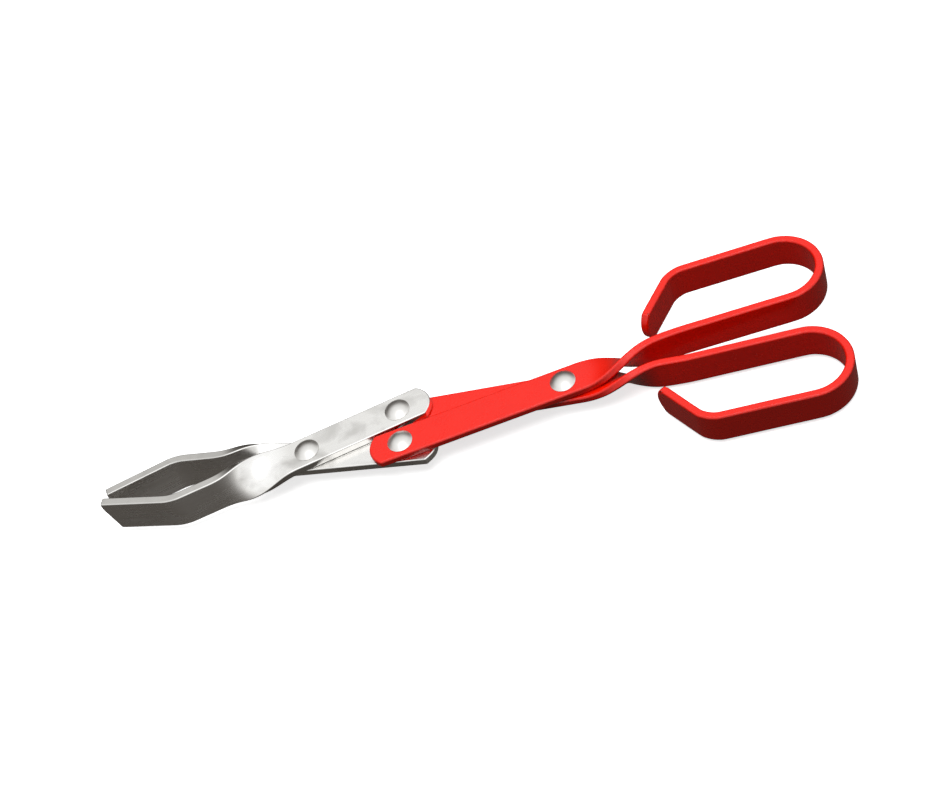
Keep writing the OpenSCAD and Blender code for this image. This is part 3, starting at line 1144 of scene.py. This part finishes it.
def fill_ramp(ramp, steps):
    """Puts the steps, given as (position, tone), on a colour ramp."""
    while len(ramp.elements) < len(steps):
        ramp.elements.new(0.5)
    for element, (position, tone) in zip(ramp.elements, steps):
        element.position = position
        element.color = (*tone, 1)


sky = bpy.data.worlds.new("studio")
bpy.context.scene.world = sky
sky.use_nodes = True
nodes = sky.node_tree.nodes
links = sky.node_tree.links
nodes.clear()
direction = nodes.new("ShaderNodeTexCoord")
direction.label = "direction of the sky"
direction.location = (-1100, 100)
split = nodes.new("ShaderNodeSeparateXYZ")
split.label = "height above the horizon"
split.location = (-900, 100)
height = nodes.new("ShaderNodeMapRange")
height.label = "from straight down to straight up"
height.location = (-700, 0)
height.inputs["From Min"].default_value = -1
facing = nodes.new("ShaderNodeVectorMath")
facing.operation = "DOT_PRODUCT"
facing.label = "how nearly towards the soft box"
facing.location = (-900, 350)
facing.inputs[1].default_value = Vector(MIRROR_TOWARDS).normalized()
nearness = nodes.new("ShaderNodeMapRange")
nearness.label = "from away to towards"
nearness.location = (-700, 350)
nearness.inputs["From Min"].default_value = -1
mirror_ramp = nodes.new("ShaderNodeValToRGB")
mirror_ramp.label = "what mirrors see"
mirror_ramp.location = (-500, 250)
fill_ramp(mirror_ramp.color_ramp, MIRROR_SKY)
light_ramp = nodes.new("ShaderNodeValToRGB")
light_ramp.label = "what lights the colours"
light_ramp.location = (-500, 0)
fill_ramp(light_ramp.color_ramp, LIGHT_SKY)
mirror_sky = nodes.new("ShaderNodeBackground")
mirror_sky.label = "sky for mirrors"
mirror_sky.location = (-200, 250)
mirror_sky.inputs["Strength"].default_value = MIRROR_STRENGTH
light_sky = nodes.new("ShaderNodeBackground")
light_sky.label = "sky for colours"
light_sky.location = (-200, 50)
light_sky.inputs["Strength"].default_value = LIGHT_STRENGTH
backdrop = nodes.new("ShaderNodeBackground")
backdrop.label = "pale backdrop"
backdrop.location = (-200, -150)
backdrop.inputs["Color"].default_value = (0.98, 0.98, 0.98, 1)
ray = nodes.new("ShaderNodeLightPath")
ray.label = "who is looking"
ray.location = (-200, 600)
mirror_or_light = nodes.new("ShaderNodeMixShader")
mirror_or_light.label = "light or mirror"
mirror_or_light.location = (50, 200)
choice = nodes.new("ShaderNodeMixShader")
choice.label = "studio or backdrop"
choice.location = (250, 100)
output = nodes.new("ShaderNodeOutputWorld")
output.label = "world"
output.location = (450, 100)
links.new(direction.outputs["Generated"], split.inputs["Vector"])
links.new(split.outputs["Z"], height.inputs["Value"])
links.new(direction.outputs["Generated"], facing.inputs[0])
links.new(facing.outputs["Value"], nearness.inputs["Value"])
links.new(nearness.outputs["Result"], mirror_ramp.inputs["Fac"])
links.new(height.outputs["Result"], light_ramp.inputs["Fac"])
links.new(mirror_ramp.outputs["Color"], mirror_sky.inputs["Color"])
links.new(light_ramp.outputs["Color"], light_sky.inputs["Color"])
links.new(ray.outputs["Is Glossy Ray"], mirror_or_light.inputs["Fac"])
links.new(light_sky.outputs["Background"], mirror_or_light.inputs[1])
links.new(mirror_sky.outputs["Background"], mirror_or_light.inputs[2])
links.new(ray.outputs["Is Camera Ray"], choice.inputs["Fac"])
links.new(mirror_or_light.outputs["Shader"], choice.inputs[1])
links.new(backdrop.outputs["Background"], choice.inputs[2])
links.new(choice.outputs["Shader"], output.inputs["Surface"])

box_data = bpy.data.lights.new("soft_box", "AREA")
box_data.shape = "DISK"
box_data.size = LAMP_SIZE
box_data.energy = LAMP_POWER
soft_box = add_object("soft_box", box_data)
towards = Vector(LAMP_TOWARDS).normalized()
soft_box.location = towards * LAMP_DISTANCE
soft_box.rotation_mode = "QUATERNION"
soft_box.rotation_quaternion = towards.to_track_quat("Z", "Y")
soft_box.visible_glossy = False

bpy.context.scene.view_settings.view_transform = "Standard"
print("skies of", len(MIRROR_SKY), "and", len(LIGHT_SKY), "steps")

# %% [markdown]
# ## The camera
#
# The camera looks down at the tongs from the front, a little to the right, and it is rolled
# so that the tongs lie along a diagonal. It is easiest to build from three directions: back
# towards the camera, right and up. The roll turns right and up about back.

# %% Camera
AZIMUTH = math.radians(13.4)
ELEVATION = math.radians(48.08)
ROLL = math.radians(-25.2)
DISTANCE = 555.6 * MM
LENS = 61.28
NEAREST_SEEN = 50 * MM
AIM_BESIDE_MIDDLE = Vector((3.94, 8.04, 0)) * MM

back = Vector((math.sin(AZIMUTH) * math.cos(ELEVATION),
               -math.cos(AZIMUTH) * math.cos(ELEVATION), math.sin(ELEVATION)))
level = Vector((math.cos(AZIMUTH), math.sin(AZIMUTH), 0))
right = level * math.cos(ROLL) + back.cross(level) * math.sin(ROLL)
up = back.cross(right)
camera_data = bpy.data.cameras.new("camera")
camera_data.lens = LENS
camera_data.clip_start = NEAREST_SEEN
camera = add_object("camera", camera_data)
turn = Matrix((right, up, back)).transposed().to_4x4()
aim = (cad_low + cad_high) / 2 + AIM_BESIDE_MIDDLE
camera.matrix_world = Matrix.Translation(aim + back * DISTANCE) @ turn
bpy.context.scene.camera = camera
print("camera at", [round(x, 3) for x in camera.location])

# %% [markdown]
# ## Size and finish
#
# The looks must not make the tongs bigger, so both boxes are written down: the imported
# # model's box at the start, and here the box around everything that is shown.

# %% Finish
low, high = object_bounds()
print("visual box:", [round(side * 1000, 2) for side in high - low], "mm")
